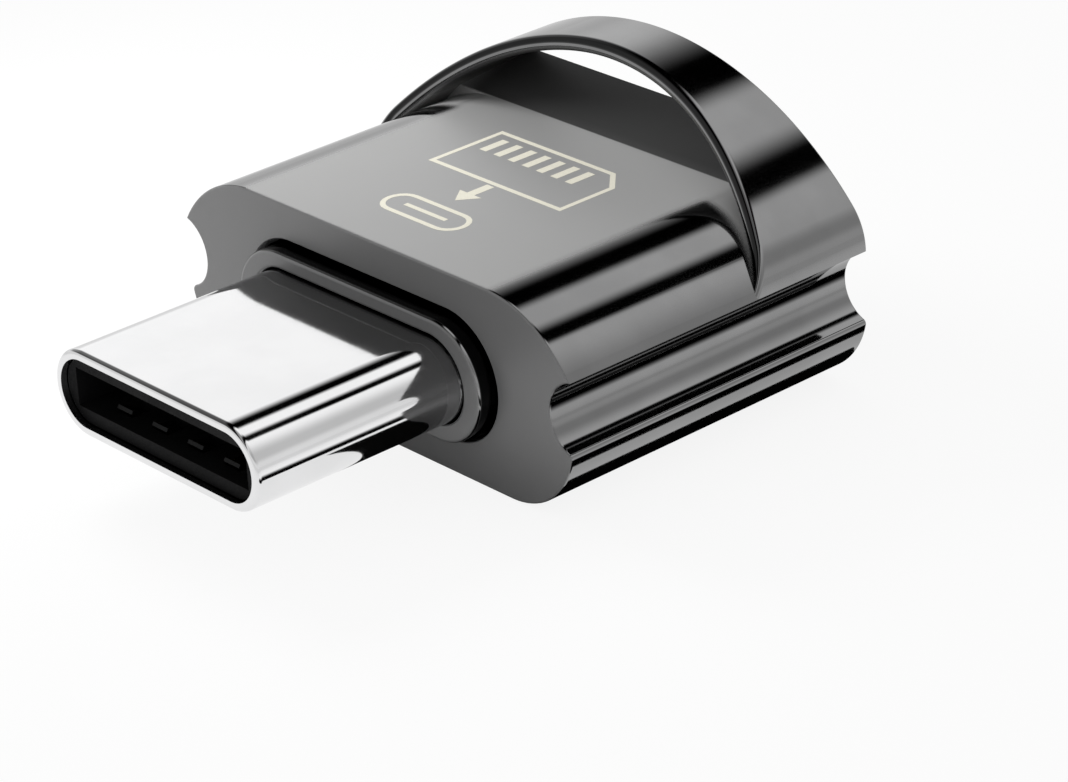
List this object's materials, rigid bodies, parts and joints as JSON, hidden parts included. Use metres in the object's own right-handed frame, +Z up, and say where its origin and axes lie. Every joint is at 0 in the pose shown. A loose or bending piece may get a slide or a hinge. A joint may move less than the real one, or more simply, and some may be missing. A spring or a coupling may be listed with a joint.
{
  "type": "memory card reader",
  "caption": "Pocket memory card reader: a grooved dark metal body with a strap hoop over its rear, an oval plug in front and a card slot behind.",
  "frame": {"origin": "under the middle of the whole reader, plug included, on the plane of the flat underside", "axes": "+Z up, from the underside to the top face and the hoop; +Y from the plug's tip to the card slot; +X to the right when seen from the plug's end with +Z up, so X is across the reader"},
  "size_m": [0.0152, 0.0176, 0.0083],
  "materials": {
    "dark_metal": "gloss",
    "plug_steel": "gloss",
    "black_plastic": "satin",
    "gold_contacts": "satin",
    "spring_steel": "satin",
    "board": "satin",
    "chip": "matte",
    "capacitor": "satin",
    "resistor": "satin"
  },
  "bodies": {
    "root": {"housing": "dark_metal", "front_collar": "dark_metal", "plug_shell": "plug_steel", "plug_insulator": "black_plastic", "contact_carrier": "black_plastic", "latch_plate": "spring_steel", "upper_contacts": "gold_contacts", "lower_contacts": "gold_contacts", "upper_ground_spring": "spring_steel", "lower_ground_spring": "spring_steel", "circuit_board": "board", "controller_chip": "chip", "capacitors": "capacitor", "resistors": "resistor", "card_socket_base": "black_plastic", "card_contacts": "gold_contacts", "card_detect_contact": "gold_contacts", "card_socket_cover": "spring_steel", "rear_bezel": "black_plastic"}
  },
  "joints": []
}
